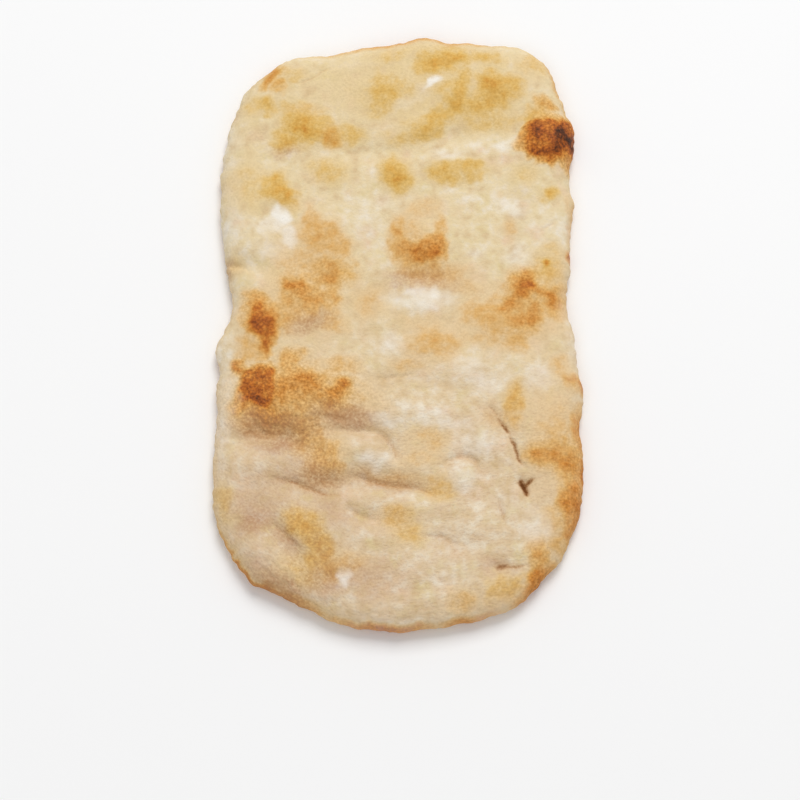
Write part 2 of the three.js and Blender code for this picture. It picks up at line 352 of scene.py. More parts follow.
SCORCHES = (
    # broad, faint browning
    Spot(0, 124, 60, 22, 0.20, warm=0.1),
    Spot(15, 146, 34, 8, 0.18, warm=0.1),
    Spot(27, 145, 12, 7, 0.30, warm=0.1),
    Spot(-6, 143, 10, 6, 0.26, warm=0.1),
    Spot(-78, 100, 10, 30, 0.14, warm=0.1),
    Spot(55, 0, 26, 16, 0.30),
    Spot(-48, 20, 20, 34, 0.27),
    Spot(-50, -44, 36, 14, 0.36, grain=0.9),
    Spot(76, -64, 14, 34, 0.22),
    Spot(70, 138, 10, 9, 0.28, warm=0.3),
    Spot(-80, 70, 12, 15, 0.26, warm=0.1),
    # charred blister on the right edge
    Spot(75.5, 95, 14, 12, 0.70, grain=1.0, fade=0.45),
    Spot(77, 85, 8, 6.5, 0.60, grain=1.0, fade=0.8),
    Spot(84, 86, 6, 6, 0.48, grain=1.0),
    Spot(66, 94, 8, 8, 0.50, grain=1.0, fade=0.7),
    Spot(66.5, 101, 6, 5, 0.58, grain=1.0, fade=0.8),
    Spot(80, 105, 9, 5, 0.52, grain=1.0),
    Spot(86, 94, 9, 11, 0.66, grain=1.0, fade=0.8),
    Spot(84, 96, 9, 8, 0.62, grain=1.0, fade=1.2),
    Spot(92, 94, 6, 10, 0.76, grain=1.0, fade=1.2),
    Spot(76, 115, 8, 5, 0.48, grain=0.8),
    Spot(88, 101, 7, 7, 0.76, grain=1.0, fade=1.2),
    Spot(69, 108, 9, 5, 0.42, warm=0.3),
    # far left corner
    Spot(-66, 132, 8, 4, 0.60, 42),
    Spot(-61, 126, 6, 4, 0.42, 20),
    Spot(-55, 134, 8, 6, 0.26, warm=0.1),
    Spot(-68, 115, 5, 6, 0.38, warm=0.1),
    Spot(-75, 115, 7, 7, 0.24, warm=0.1),
    # far band
    Spot(-51, 104, 11, 7, 0.49, -10, warm=0.1),
    Spot(-42, 101, 10, 7, 0.46, -20, warm=0.1),
    Spot(-34, 96, 4, 5, 0.52),
    Spot(-47, 112, 11, 4, 0.30),
    Spot(-55, 95, 10, 7, 0.44, warm=0.1),
    Spot(-26, 97, 8, 6, 0.37, warm=0.1),
    Spot(-7, 120, 11, 11, 0.38, warm=0.1),
    Spot(20, 139, 10, 7, 0.49, warm=0.1),
    Spot(30, 142, 9, 6, 0.46, warm=0.1),
    Spot(29, 119, 8, 9, 0.48, warm=0.1),
    Spot(42, 116, 11, 6, 0.42, warm=0.1),
    Spot(-55, 114, 10, 6, 0.30, warm=0.1),
    Spot(33, 130, 7, 6, 0.36, warm=0.1),
    Spot(23, 110, 10, 5, 0.37, 20, warm=0.1),
    Spot(51, 124, 12, 10, 0.46, warm=0.2),
    Spot(46, 142, 10, 6, 0.34, warm=0.1),
    Spot(49, 125, 6, 5, 0.40, warm=0.1),
    Spot(14, 103, 11, 7, 0.42, 12, warm=0.1),
    Spot(1, 97, 12, 6, 0.28, warm=0.1),
    Spot(45, 107, 18, 7, 0.29, warm=0.1),
    # second row
    Spot(-37, 77, 11, 8, 0.30, warm=0.1),
    Spot(-62, 68, 7, 10, 0.49, 40, warm=0.1),
    Spot(-55, 64, 6, 5, 0.50, warm=0.1),
    Spot(-1, 77, 8, 10, 0.45, warm=0.1),
    Spot(-2, 75, 5, 6, 0.40, warm=0.1),
    Spot(22, 76, 8, 6, 0.44, warm=0.1),
    Spot(37, 78, 10, 5, 0.39, warm=0.1),
    Spot(63, 78, 9, 6, 0.24, warm=0.1),
    Spot(77, 66, 6, 4, 0.44, warm=0.1),
    # chain down the left of the middle
    Spot(-45, 53, 6, 7, 0.34),
    Spot(-39, 44, 10, 9, 0.40),
    Spot(-32, 37, 8, 8, 0.36),
    Spot(-34, 22, 12, 9, 0.44, grain=0.6),
    Spot(-33, 19, 6, 5, 0.44, grain=0.8),
    Spot(-52, 14, 8, 8, 0.54, grain=0.9),
    Spot(-53, 16, 5, 4, 0.54, grain=0.9),
    Spot(-45, 8, 10, 9, 0.45, grain=0.7),
    Spot(-34, 8, 6, 9, 0.40, grain=0.7),
    Spot(-69, -3, 8, 11, 0.70, grain=0.6, fade=1.1),
    Spot(-72, -4, 7, 7, 0.68, grain=0.6),
    Spot(-68, -16, 4, 7, 0.70, grain=0.6),
    Spot(-73, 7, 8, 7, 0.44, grain=0.7),
    Spot(-84, 28, 6, 8, 0.25, warm=0.1),
    Spot(-57, 3, 8, 11, 0.40, grain=0.6),
    # ring in the middle
    Spot(0.5, 45, 4.5, 10, 0.46),
    Spot(3, 34, 7, 7, 0.46, grain=0.5),
    Spot(11.5, 33, 9, 6, 0.59, grain=0.7, fade=1.3),
    Spot(14, 39, 6, 5, 0.42, grain=0.7),
    Spot(18.5, 37, 5, 8, 0.54, grain=0.7, fade=1.4),
    Spot(11, 28, 10, 5, 0.36),
    Spot(20, 47, 4, 6, 0.38),
    Spot(6, 46, 10, 7, 0.26),
    Spot(12, 57, 14, 6, 0.24),
    Spot(16, 22, 18, 7, 0.34),
    # right of the middle
    Spot(64, 17, 7, 9, 0.70, grain=0.8),
    Spot(76, 24, 11, 9, 0.34, warm=0.4),
    Spot(60, 9, 6, 6, 0.60, grain=0.7),
    Spot(54, 5, 4, 4, 0.52, grain=0.7),
    Spot(75, 10, 8, 6, 0.58, grain=0.8),
    Spot(68, 0, 6, 6, 0.54, grain=0.7),
    Spot(63, -6, 7, 6, 0.50, grain=0.7),
    Spot(56, 0, 16, 12, 0.38),
    Spot(40, 1, 12, 9, 0.34),
    Spot(34, 15, 9, 6, 0.24),
    Spot(58, -13, 5, 5, 0.34),
    Spot(55, 46, 5, 6, 0.26),
    Spot(74, 28, 3, 3, 0.60, fade=1.3, warm=0.1),
    Spot(79, 8, 9, 9, 0.46),
    Spot(82, 35, 7, 6, 0.26, warm=0.3),
    Spot(89, 35, 2.5, 3.5, 0.66),
    Spot(87, 57, 3, 10, 0.24),
    # faint patches across the middle
    Spot(18, -14, 15, 9, 0.36),
    Spot(43, -14, 12, 6, 0.27),
    Spot(-76, -18, 7, 8, 0.36),
    Spot(8, -3, 15, 6, 0.20),
    Spot(5, -25, 9, 5, 0.26),
    Spot(-14, 6, 11, 9, 0.25),
    Spot(-33, -6, 9, 7, 0.30),
    Spot(-25, 22, 7, 9, 0.30, warm=0.4),
    # speckled band on the left ridge
    Spot(-70, -38, 10, 12, 0.70, grain=1.0, fade=0.7),
    Spot(-71, -46, 12, 6, 0.71, grain=1.0),
    Spot(-79, -27, 4, 4, 0.66, grain=1.0),
    Spot(-55, -38, 11, 13, 0.50, grain=1.0),
    Spot(-45, -38, 9, 10, 0.54, grain=1.0),
    Spot(-34, -43, 10, 9, 0.56, grain=1.0),
    Spot(-28, -38, 6, 6, 0.58, grain=1.0),
    Spot(-54, -24, 8, 6, 0.44, grain=0.9),
    Spot(-29, -26, 14, 7, 0.32, grain=0.6),
    Spot(-62, -53, 16, 6, 0.54, grain=0.9),
    Spot(-46, -57, 9, 6, 0.42, grain=0.9),
    # near third, left and middle
    Spot(-44, -65, 8, 8, 0.42, grain=0.8),
    Spot(-35, -73, 9, 9, 0.41, grain=0.8),
    Spot(-38, -83, 10, 7, 0.30, grain=1.0),
    Spot(-4, -82, 22, 4, 0.26, -8),
    Spot(19, -89, 8, 6, 0.34, warm=0.45),
    Spot(-47, -106, 9, 8, 0.42, grain=0.5, fade=1.2, warm=0.4),
    Spot(-40, -117, 9, 13, 0.38, 25, grain=0.5, fade=1.1, warm=0.3),
    Spot(-34, -128, 7, 6, 0.38, grain=0.5),
    Spot(-46, -129, 14, 10, 0.26, grain=0.6, warm=0.4),
    Spot(-24, -126, 9, 6, 0.26),
    Spot(-86, -95, 6, 9, 0.32, warm=0.3),
    Spot(-3, -102, 6, 5, 0.34, grain=0.6),
    Spot(4, -108, 9, 9, 0.30, warm=0.45),
    Spot(15, -65, 15, 8, 0.25),
    Spot(9, -75, 14, 6, 0.22),
    # near third, right
    Spot(46, -54, 8, 6, 0.22),
    Spot(57, -43, 7, 9, 0.42, warm=0.45),
    Spot(80, -25, 6, 7, 0.28),
    Spot(86, -34, 5, 6, 0.48),
    Spot(56, -54, 6, 7, 0.34),
    Spot(75, -62, 14, 14, 0.24),
    Spot(80, -73.5, 15, 10, 0.55, grain=0.7),
    Spot(75, -105, 8, 7, 0.30),
    Spot(67, -73, 7, 6, 0.52, grain=0.7),
    Spot(83, -92, 7, 13, 0.57, grain=0.7, fade=1.3),
    Spot(67, -124, 6, 12, 0.50, grain=0.6),
    Spot(77, -115, 5, 8, 0.32),
    Spot(66, -136, 5, 6, 0.62, grain=0.7),
    Spot(58, -141, 8, 5, 0.28, 30),
    Spot(51, -137, 10, 7, 0.38, warm=0.45),
    Spot(28, -146, 9, 6, 0.30, grain=0.6),
    Spot(46, -145, 8, 5, 0.30),
)

# Greyish brown skin that has dried without browning, and painted shade: on slopes that face the
# near end, in creases and under the lobe at the left edge
DULLED_AND_SHADED = (
    Spot(-64, -56, 18, 6, 0.74, -2),
    Spot(-46, -58, 12, 6, 0.50, -14),
    Spot(-57, -66, 14, 6, 0.70),
    Spot(-28, -53, 15, 6, 0.78, -8),
    Spot(-38, -84, 11, 8, 0.72),
    Spot(-64, -84, 12, 8, 0.34),
    Spot(-54, -85, 9, 5, 0.45),
    Spot(-7, -84, 24, 5, 0.46, -8),
    Spot(10, 17, 20, 8, 0.54),
    Spot(-70, -106, 11, 7, 0.70),
    Spot(-70, -97, 16, 9, 0.44),
    Spot(-55, -114, 7, 10, 0.60, 35),
    Spot(24, -114, 12, 5, 0.30, -10),
    Spot(-60, -98, 30, 26, 0.30),
    Spot(-57, -139, 20, 8, 0.66, -32),
    Spot(-35, -133, 12, 9, 0.52),
    Spot(-38, -118, 10, 13, 0.44, 25),
    Spot(-22, -134, 28, 11, 0.47),
    Spot(-46, -75, 14, 9, 0.42),
    Spot(-87, 25, 4, 7, 0.60),
    Spot(-58, 88, 8, 5, 0.46),
    Spot(-72, 98, 5, 6, 0.30),
    Spot(-45, -4, 11, 6, 0.60),
    Spot(10, -34, 30, 5, 0.22, -4),
    Spot(-30, -101, 16, 7, 0.42, -25),
    Spot(45, -53, 7, 6, 0.34),
    Spot(-5, -66, 7, 6, 0.25),
    Spot(48, -126, 9, 4, 0.46),
    Spot(62, 65, 8, 6, 0.22),
    Spot(-15, 46, 6, 7, 0.22),
)

# Flour that baking left on the skin, and painted light: paler flanks of the rim where it falls
# in shade, and paler tops of lit ridges and lips
FLOURED_AND_LIT = (
    Spot(18, 127, 2.4, 6.5, 0.95, -42, fade=1.4),
    Spot(13, 123, 5, 4, 0.36),
    Spot(5, 115, 15, 3, 0.36, 33),
    Spot(53, 92, 5, 4, 0.75),
    Spot(36, 91, 22, 6, 0.24, 4),
    Spot(26, 87, 10, 4, 0.54),
    Spot(-60, 53, 3.5, 7, 0.85, 15, fade=1.4),
    Spot(-67, 49, 7, 3, 0.55, 12, fade=1.5),
    Spot(-66, 48, 11, 6, 0.46),
    Spot(-88, 50, 9, 50, 0.34),
    Spot(-87, 46, 8, 8, 0.54),
    Spot(-87, 97, 9, 12, 0.40),
    Spot(-88, -52, 9, 42, 0.40),
    Spot(-86, -24, 6, 6, 0.34),
    Spot(89, 10, 8, 60, 0.34),
    Spot(84, -14, 7, 8, 0.30),
    Spot(-8, -156, 36, 6, 0.30),
    Spot(48, -146, 14, 6, 0.36, 25),
    Spot(-65, 36, 9, 5, 0.42),
    Spot(83, 46, 8, 7, 0.42),
    Spot(-55, 43, 3.5, 6, 0.66, 10, fade=1.5),
    Spot(60, 33, 8, 7, 0.52),
    Spot(37, 34, 5, 4, 0.55),
    Spot(11, 7, 16, 6, 0.64, fade=1.5),
    Spot(-3, -14, 7, 7, 0.58),
    Spot(36, -26, 11, 6, 0.46),
    Spot(69, -32, 8, 9, 0.50),
    Spot(22, -55, 15, 5, 0.52, -6),
    Spot(4, -46, 8, 5, 0.32),
    Spot(-6, -54, 10, 4, 0.48),
    Spot(-27, -134, 3.5, 5, 0.74, fade=1.6),
    Spot(17, -121, 13, 6, 0.28),
    Spot(26, -134, 14, 8, 0.30),
    Spot(56, 57, 9, 5, 0.62),
    Spot(36, 65, 4, 3, 0.45),
    Spot(-70, -114, 9, 5, 0.15),
    Spot(33, -84, 8, 6, 0.48),
    Spot(-20, -66, 12, 5, 0.20),
    Spot(-12, -75, 8, 5, 0.58),
    Spot(-12, 61, 16, 7, 0.34),
    Spot(-16, 49, 10, 10, 0.36),
    Spot(72, 50, 12, 10, 0.28),
    Spot(42, -35, 13, 7, 0.55),
    Spot(38, -68, 12, 8, 0.52),
    Spot(40, -98, 16, 10, 0.20),
    Spot(65, -109, 9, 9, 0.48),
    Spot(54, -96, 8, 7, 0.36),
    Spot(54, -78, 6, 6, 0.32),
)

WRINKLES = (
    Wrinkling(Spot(-64, -57, 22, 8, 1.0, 4), 0.6, 2.0, 4.0),
    Wrinkling(Spot(-28, -54, 18, 7, 1.0, -12), 0.5, 2.0, 4.0),
    Wrinkling(Spot(-76, -90, 14, 16, 1.0, 62), 0.25),
    Wrinkling(Spot(-46, -116, 12, 14, 1.0, -52), 0.3),
    Wrinkling(Spot(-5, -146, 60, 12, 1.0), 0.25, 2.0),
    Wrinkling(Spot(-58, -134, 22, 9, 1.0, -30), 0.35, 2.0),
    Wrinkling(Spot(60, -136, 16, 10, 1.0, 34), 0.25),
    Wrinkling(Spot(82, -95, 9, 26, 1.0, 84), 0.2),
    Wrinkling(Spot(-46, -38, 34, 12, 1.0, 80), 0.25, 1.8, 2.0),
    Wrinkling(Spot(20, -105, 40, 14, 1.0, -10), 0.18),
    Wrinkling(Spot(10, -38, 36, 9, 1.0, -8), 0.18),
    Wrinkling(Spot(-62, 106, 28, 26, 1.0, 55), 0.15),
)

# Clockwise from above, from the middle of the right side
EDGE_TOASTS = (
    EdgeToast(338, 5, 0.60, 6),
    EdgeToast(326, 12, 0.54, 10),
    EdgeToast(318, 7, 0.66, 4),
    EdgeToast(312, 15, 0.61, 12),
    EdgeToast(296, 9, 0.66, 8),
    EdgeToast(283, 12, 0.52, 4),
    EdgeToast(267, 18, 0.66, 4),
    EdgeToast(251, 15, 0.44, 6),
    EdgeToast(243, 24, 0.62, 2),
    EdgeToast(237, 12, 0.28, 6),
    EdgeToast(222, 14, 0.22, 6),
    EdgeToast(204, 18, 0.18, 4),
    EdgeToast(180, 24, 0.14, 3),
    EdgeToast(116, 6, 0.50, 5),
    EdgeToast(88, 34, 0.50, 7),
    EdgeToast(58, 14, 0.36, 4),
    EdgeToast(47, 9, 0.60, 6),
    EdgeToast(30, 14, 0.34, 4),
    EdgeToast(21, 4, 0.74, 5),
    EdgeToast(8, 12, 0.30, 4),
)


class DoughNoise:
    """Smooth, seeded unevenness over the plan."""

    CELLS = 256

    def __init__(self, seed: int) -> None:
        """Draws the unevenness.

        Args:
            seed: Seed of the random draw.
        """
        self.heights = np.random.default_rng(seed).uniform(-1, 1, (self.CELLS, self.CELLS))

    def at(self, plan: np.ndarray, reach: float, stretch: float = 1.0, turn: float = 0.0) -> np.ndarray:
        """Gives the unevenness at points of the plan.

        Args:
            plan: Points of the plan, one a row.
            reach: Size of its lumps, in millimetres.
            stretch: How much longer the lumps are one way than the other.
            turn: The way that longer lumps run, in degrees from +X.

        Returns:
            Values between -1 and 1.
        """
        cells = turned(plan, turn) / np.array([reach * stretch, reach]) + self.CELLS / 2
        corner = np.floor(cells).astype(int)
        over, up = smooth_step(cells - corner, 0.0, 1.0).T
        left, low = (corner % self.CELLS).T
        right = (left + 1) % self.CELLS
        high = (low + 1) % self.CELLS
        bottom = self.heights[left, low] * (1 - over) + self.heights[right, low] * over
        top = self.heights[left, high] * (1 - over) + self.heights[right, high] * over
        return bottom * (1 - up) + top * up


# Modelling helpers


def select_only(piece: bpy.types.Object) -> None:
    """Makes a piece the only selected and the active object.

    Args:
        piece: The piece to work on.
    """
    bpy.ops.object.select_all(action="DESELECT")
    piece.select_set(True)
    bpy.context.view_layer.objects.active = piece


@contextmanager
def edit_mode(piece: bpy.types.Object, faces: Optional[np.ndarray] = None) -> Iterator[None]:
    """Works on a piece in edit mode with all or some of its faces selected.

    Args:
        piece: The piece to edit.
        faces: Whether each face is selected. All of them are if it is left out.

    Yields:
        Nothing: edit mode lasts for the block.
    """
    select_only(piece)
    bpy.ops.object.mode_set(mode="EDIT")
    bpy.ops.mesh.select_mode(type="FACE")
    bpy.ops.mesh.select_all(action="SELECT" if faces is None else "DESELECT")
    if faces is not None:
        bpy.ops.object.mode_set(mode="OBJECT")
        piece.data.polygons.foreach_set("select", faces)
        bpy.ops.object.mode_set(mode="EDIT")
    yield
    bpy.ops.object.mode_set(mode="OBJECT")


def apply_modifier(piece: bpy.types.Object, kind: str, **settings: object) -> None:
    """Adds a modifier to a piece and applies it.

    Args:
        piece: The piece to change.
        kind: The modifier's type.
        **settings: The modifier's settings by name.
    """
    select_only(piece)
    modifier = piece.modifiers.new(kind.lower(), kind)
    for name, value in settings.items():
        setattr(modifier, name, value)
    bpy.ops.object.modifier_apply(modifier=modifier.name)


def read_vectors(elements: bpy.types.bpy_prop_collection, kind: str) -> np.ndarray:
    """Reads a vector of each vertex or face.

    Args:
        elements: The mesh's vertices or polygons.
        kind: The vector's name, such as co, normal or center.

    Returns:
        One row of three numbers for each element.
    """
    values = np.empty(len(elements) * 3, np.float32)
    elements.foreach_get(kind, values)
    return values.reshape(-1, 3).astype(float)


# Shader maths


class Shade:
    """A socket that gives a value or a colour, for use in Python expressions."""

    def __init__(self, sheet: "Sheet", socket: bpy.types.NodeSocket) -> None:
        """Wraps a socket.

        Args:
            sheet: The sheet that the socket's node is on.
            socket: The socket that gives the value.
        """
        self.sheet = sheet
        self.socket = socket

    def _math(self, operation: str, first: "Value", second: "Value") -> "Shade":
        """Adds a Math node.

        Args:
            operation: The node's operation.
            first: The first value.
            second: The second value.

        Returns:
            The node's result.
        """
        return self.sheet.node("ShaderNodeMath", {"operation": operation}, {0: first, 1: second})

    def __add__(self, other: "Value") -> "Shade":
        """Gives the sum."""
        return self._math("ADD", self, other)

    __radd__ = __add__

    def __sub__(self, other: "Value") -> "Shade":
        """Gives the difference."""
        return self._math("SUBTRACT", self, other)

    def __rsub__(self, other: "Value") -> "Shade":
        """Gives the difference the other way round."""
        return self._math("SUBTRACT", other, self)

    def __mul__(self, other: "Value") -> "Shade":
        """Gives the product."""
        return self._math("MULTIPLY", self, other)

    def eased(self, start: float, end: float) -> "Shade":
        """Eases the value from 0 at start to 1 at end.

        Args:
            start: The value that gives 0.
            end: The value that gives 1.

        Returns:
            The eased value.
        """
        return self.sheet.node(
            "ShaderNodeMapRange",
            {"interpolation_type": "SMOOTHSTEP"},
            {"Value": self, "From Min": start, "From Max": end},
        )


Value = Union[Shade, float, Sequence[float]]


class Sheet:
    """The node sheet of one material.

    Attributes:
        NOISE_MIDDLE: Middle of the values that a Noise node gives.
        MIX_FACTOR: Number of a Mix node's factor among its inputs.
        MIX_COLOURS: Numbers of its two colours among its inputs.
        MIX_RESULT: Number of the mixed colour among its outputs.
    """

    NOISE_MIDDLE = 0.5
    MIX_FACTOR = 0
    MIX_COLOURS = (6, 7)
    MIX_RESULT = 2

    def __init__(self, name: str) -> None:
        """Starts a material with an empty principled shader.

        Args:
            name: The material's name.
        """
        self.material = bpy.data.materials.new(name)
        self.material.use_nodes = True
        self.nodes = self.material.node_tree.nodes
        self.links = self.material.node_tree.links
        self.shader = self.nodes["Principled BSDF"]

    def node(self, kind: str, settings: dict, inputs: dict, output: Union[int, str] = 0) -> Shade:
        """Adds a node.

        Args:
            kind: The node's type.
            settings: Its settings by name, set first. A ramp's places and colours are its stops.
            inputs: The values or links of its sockets, by name or number.
            output: The output to give, by name or number.

        Returns:
            The node's output.
        """
        node = self.nodes.new(kind)
        for name, setting in settings.items():
            if name == "stops":
                self._set_stops(node.color_ramp, setting)
            else:
                setattr(node, name, setting)
        for key, value in inputs.items():
            self.feed(node.inputs[key], value)
        return Shade(self, node.outputs[output])

    def _set_stops(self, ramp: bpy.types.ColorRamp, stops: Ramp) -> None:
        """Gives a ramp its stops.

        Args:
            ramp: The ramp.
            stops: Places and colours in order.
        """
        while len(ramp.elements) < len(stops):
            ramp.elements.new(1.0)
        for element, (place, colour) in zip(ramp.elements, stops):
            element.position = place
            element.color = colour

    def feed(self, socket: bpy.types.NodeSocket, value: Value) -> None:
        """Links a shade to a socket or sets the socket's own value.

        Args:
            socket: The socket to feed.
            value: A shade, or a value to set.
        """
        if isinstance(value, Shade):
            self.links.new(value.socket, socket)
        else:
            socket.default_value = value

    def place(self) -> Shade:
        """Gives the Object coordinates, in metres."""
        return self.node("ShaderNodeTexCoord", {}, {}, "Object")

    def axis(self, name: str) -> Shade:
        """Gives one of the Object coordinates, in metres."""
        return self.node("ShaderNodeSeparateXYZ", {}, {0: self.place()}, name)

    def noise(
        self,
        reach: float,
        detail: float = 2.0,
        shift: float = 0.0,
        stretch: float = 1.0,
        turn: float = 0.0,
    ) -> Shade:
        """Adds noise on Object coordinates.

        Args:
            reach: Size of the noise's lumps in millimetres.
            detail: Number of finer octaves.
            shift: Shift of the noise in metres, so that two of one reach differ.
            stretch: How much longer the lumps are one way than the other.
            turn: The way that longer lumps run, in degrees from +X.

        Returns:
            Values around 0, mostly between -0.5 and 0.5.
        """
        scale = 1 / (reach * MM)
        mapping = {
            "Vector": self.place(),
            "Location": (shift * scale, shift * scale, shift * scale),
            "Rotation": (0.0, 0.0, -math.radians(turn)),
        }
        turned_place = self.node("ShaderNodeMapping", {}, mapping)
        scaling = {0: turned_place, 1: (scale / stretch, scale, scale)}
        spread = self.node("ShaderNodeVectorMath", {"operation": "MULTIPLY"}, scaling)
        texture = {"Vector": spread, "Scale": 1.0, "Detail": detail}
        return self.node("ShaderNodeTexNoise", {}, texture) - self.NOISE_MIDDLE

    def attribute(self, mark: Mark) -> Shade:
        """Reads one of the bread's attributes."""
        return self.node("ShaderNodeAttribute", {"attribute_name": mark.value}, {}, "Fac")

    def mix(self, first: Value, second: Value, share: Value, blend: str = "MIX") -> Shade:
        """Mixes two colours.

        Args:
            first: The colour at share 0.
            second: The colour at share 1.
            share: The share of the second colour.
            blend: The way of mixing.

        Returns:
            The mixed colour.
        """
        settings = {"data_type": "RGBA", "blend_type": blend, "clamp_factor": True}
        inputs = {self.MIX_FACTOR: share, **dict(zip(self.MIX_COLOURS, (first, second)))}
        return self.node("ShaderNodeMix", settings, inputs, self.MIX_RESULT)

    def ramp(self, stops: Ramp, place: Shade) -> Shade:
        """Gives a ramp's colour.

        Args:
            stops: Places and colours in order.
            place: The place to read.

        Returns:
            The colour there.
        """
        return self.node("ShaderNodeValToRGB", {"stops": stops}, {0: place}, "Color")


@dataclass(frozen=True)
class CrustFinish:
    """The bread's baked crust: cream dough that browns, speckles and chars, dusted with flour.

    A reach is the size of a noise's lumps in millimetres. A span holds the two values, or places in
    metres, between which one look gives way to another. Other numbers say how much one thing adds
    to another. Besides the dough's own colours, it paints shade on slopes, in creases, pits and
    furrows, and paints light on shaded flanks and lit ridges.
    """

    # colours
    far_cream: Colour = srgb(229, 209, 168)
    near_cream: Colour = srgb(222, 197, 162)
    pale: Colour = srgb(235, 221, 196)
    blush: Colour = srgb(227, 196, 165)
    straw: Colour = srgb(221, 201, 148)
    dry: Colour = srgb(211, 183, 140)
    # flour, also used as painted light on shaded flanks of the rim and on lit ridges
    flour: Colour = srgb(244, 239, 230)
    # greyish brown of dried skin, also used as painted shade on slopes, in creases and in furrows
    dull_and_shade: Colour = srgb(176, 126, 86)
    # baked stain and painted shade of the folds, the crack and the pits, by how dark they are
    stained_and_shaded: Ramp = (
        (0.00, srgb(200, 156, 104)),
        (0.50, srgb(164, 112, 60)),
        (1.00, srgb(112, 66, 27)),
    )
    golden: Ramp = (
        (0.00, srgb(228, 206, 164)),
        (0.20, srgb(224, 196, 140)),
        (0.38, srgb(219, 181, 104)),
        (0.50, srgb(213, 166, 78)),
        (0.60, srgb(202, 139, 50)),
        (0.70, srgb(184, 108, 30)),
        (0.80, srgb(154, 79, 18)),
        (0.90, srgb(104, 51, 13)),
        (1.00, srgb(64, 32, 13)),
    )
    orange: Ramp = (
        (0.00, srgb(229, 205, 167)),
        (0.20, srgb(226, 193, 147)),
        (0.38, srgb(219, 173, 111)),
        (0.50, srgb(211, 152, 84)),
        (0.60, srgb(200, 132, 57)),
        (0.70, srgb(183, 105, 32)),
        (0.80, srgb(154, 78, 18)),
        (0.90, srgb(104, 51, 13)),
        (1.00, srgb(64, 32, 13)),
    )
    # noise: fine speckle, middling mottle, broad clouds and drifting tints
    speckle_reach: float = 1.3
    speckle_detail: float = 1.5
    mottle_reach: float = 5.0
    mottle_detail: float = 4.0
    cloud_reach: float = 20.0
    tint_reach: float = 11.0
    tint_detail: float = 3.0
    tint_shift: float = 0.9
    # dough: how the near cream turns into the far one, and both into their tints
    far_span: Span = (-0.1, 0.06)
    far_cloud: float = 0.06
    tint_range: float = 0.35
    light_mottle: float = 1.4
    light_speckle: float = 0.3
    pale_span: Span = (-0.05, 0.53)
    dry_span: Span = (0.05, -0.53)
    # browning: where it covers the dough, and how uneven and gritty it is
    toast_span: Span = (0.0, 0.3)
    uneven_span: Span = (0.02, 0.35)
    uneven_mottle: float = 0.45
    uneven_speckle: float = 0.06
    grainy_speckle: float = 0.12
    grit: float = 0.14
    scorched_grit: float = 2.1
    # strands: how they run left and right, where they lie, and how much painted shade their furrows get
    strand_reach: float = 1.1
    strand_stretch: float = 1.9
    strand_turns: Pair = (-38.0, 10.0)
    strand_shifts: Pair = (0.4, 0.7)
    near_span: Span = (0.02, -0.07)
    left_span: Span = (0.0, -0.04)
    shaded_furrow_span: Span = (0.05, -0.3)
    furrow_shade_share: float = 0.26
    # dull skin and painted shade, flour and painted light, and lines of stain and painted shade,
    # from where they start to where they cover
    dull_and_shade_speckle: float = 1.2
    dull_and_shade_share: float = 0.8
    dust_and_light_span: Span = (0.02, 0.3)
    dust_and_light_mottle: float = 0.5
    flour_and_light_span: Span = (0.05, 1.15)
    stain_and_shade_span: Span = (0.0, 0.9)
    # gloss and the finest relief
    specular: float = 0.25
    roughness: float = 0.82
    speckle_roughness: float = 0.15
    flour_roughness: float = 0.14
    floury_span: Span = (0.05, 0.6)
    baked_gloss: float = 0.2
    glossy_span: Span = (0.3, 0.9)
    crumb_reach: float = 2.6
    grain_relief: float = 0.6
    strand_relief: float = 2.3
    relief_strength: float = 0.5
    relief_depth: float = 0.6

    def material(self) -> bpy.types.Material:
        """Makes the material.

        Returns:
            The crust's material.
        """
        sheet = Sheet("baked_crust")
        speckle = sheet.noise(self.speckle_reach, self.speckle_detail)
        mottle = sheet.noise(self.mottle_reach, self.mottle_detail)
        strands = self.strands(sheet)
        # flour, and painted light on shaded flanks of the rim and on lit ridges
        flour = sheet.attribute(Mark.FLOUR)
        dust_and_light = flour + flour.eased(*self.dust_and_light_span) * mottle * self.dust_and_light_mottle
        stain = sheet.attribute(Mark.STAIN) * (1.0 + speckle)
        colour = self.dough(sheet, speckle, mottle)
        colour = self.toasted(sheet, colour, speckle, mottle)
        # painted shade in the furrows of the strands, which the bump also lowers
        colour = sheet.mix(colour, self.dull_and_shade, strands.eased(*self.shaded_furrow_span) * self.furrow_shade_share)
        # dried skin, and painted shade on slopes, in creases and under the left lobe
        dull_and_shade = sheet.attribute(Mark.DULLING) * (1.0 + speckle * self.dull_and_shade_speckle + mottle)
        colour = sheet.mix(colour, self.dull_and_shade, dull_and_shade.eased(0.0, 1.0) * self.dull_and_shade_share)
        # flour and painted light
        colour = sheet.mix(colour, self.flour, dust_and_light.eased(*self.flour_and_light_span))
        # baked stain and painted shade along the folds, the crack and the pits
        colour = sheet.mix(colour, sheet.ramp(self.stained_and_shaded, stain), stain.eased(*self.stain_and_shade_span))
        grains = speckle + strands * self.strand_relief
        sheet.feed(sheet.shader.inputs["Base Color"], colour)
        sheet.feed(sheet.shader.inputs["Roughness"], self.dryness(sheet, dust_and_light, speckle))
        sheet.feed(sheet.shader.inputs["Specular IOR Level"], self.specular)
        sheet.feed(sheet.shader.inputs["Normal"], self.crumb(sheet, grains))
        return sheet.material

